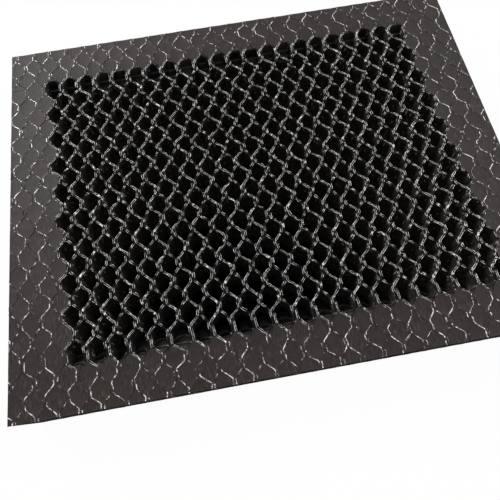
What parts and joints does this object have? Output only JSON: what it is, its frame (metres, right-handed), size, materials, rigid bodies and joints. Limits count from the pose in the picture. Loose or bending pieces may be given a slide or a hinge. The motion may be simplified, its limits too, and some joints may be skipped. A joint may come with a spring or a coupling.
{
  "type": "honeycomb grid",
  "caption": "Flat rectangular light grid of thin black foil honeycomb, open right through, with a resin-filled rim on all sides.",
  "frame": {"origin": "centre of the back face, at the middle of the panel's width and length", "axes": "+X across the foil ribbons, +Y along them, +Z through the cells from the back face to the front face"},
  "size_m": [0.085, 0.0676, 0.0095],
  "materials": {
    "black_foil": "matt black coat, bare at the cut edges",
    "edge_resin": "sanded satin, dark grey brown"
  },
  "bodies": {
    "root": {"edge_resin_far": "edge_resin", "edge_resin_left": "edge_resin", "edge_resin_near": "edge_resin", "edge_resin_right": "edge_resin", "foil_ribbon_01": "black_foil", "foil_ribbon_02": "black_foil", "foil_ribbon_03": "black_foil", "foil_ribbon_04": "black_foil", "foil_ribbon_05": "black_foil", "foil_ribbon_06": "black_foil", "foil_ribbon_07": "black_foil", "foil_ribbon_08": "black_foil", "foil_ribbon_09": "black_foil", "foil_ribbon_10": "black_foil", "foil_ribbon_11": "black_foil", "foil_ribbon_12": "black_foil", "foil_ribbon_13": "black_foil", "foil_ribbon_14": "black_foil", "foil_ribbon_15": "black_foil", "foil_ribbon_16": "black_foil", "foil_ribbon_17": "black_foil", "foil_ribbon_18": "black_foil", "foil_ribbon_19": "black_foil", "foil_ribbon_20": "black_foil", "foil_ribbon_21": "black_foil", "foil_ribbon_22": "black_foil", "foil_ribbon_23": "black_foil", "foil_ribbon_24": "black_foil", "foil_ribbon_25": "black_foil", "foil_ribbon_26": "black_foil", "foil_ribbon_27": "black_foil", "foil_ribbon_28": "black_foil", "foil_ribbon_29": "black_foil", "foil_ribbon_30": "black_foil", "foil_ribbon_31": "black_foil", "foil_ribbon_32": "black_foil", "foil_ribbon_33": "black_foil", "foil_ribbon_34": "black_foil", "foil_ribbon_35": "black_foil", "foil_ribbon_36": "black_foil", "foil_ribbon_37": "black_foil", "foil_ribbon_38": "black_foil", "foil_ribbon_39": "black_foil", "foil_ribbon_40": "black_foil", "foil_ribbon_41": "black_foil", "foil_ribbon_42": "black_foil", "foil_ribbon_43": "black_foil", "foil_ribbon_44": "black_foil"}
  },
  "joints": []
}
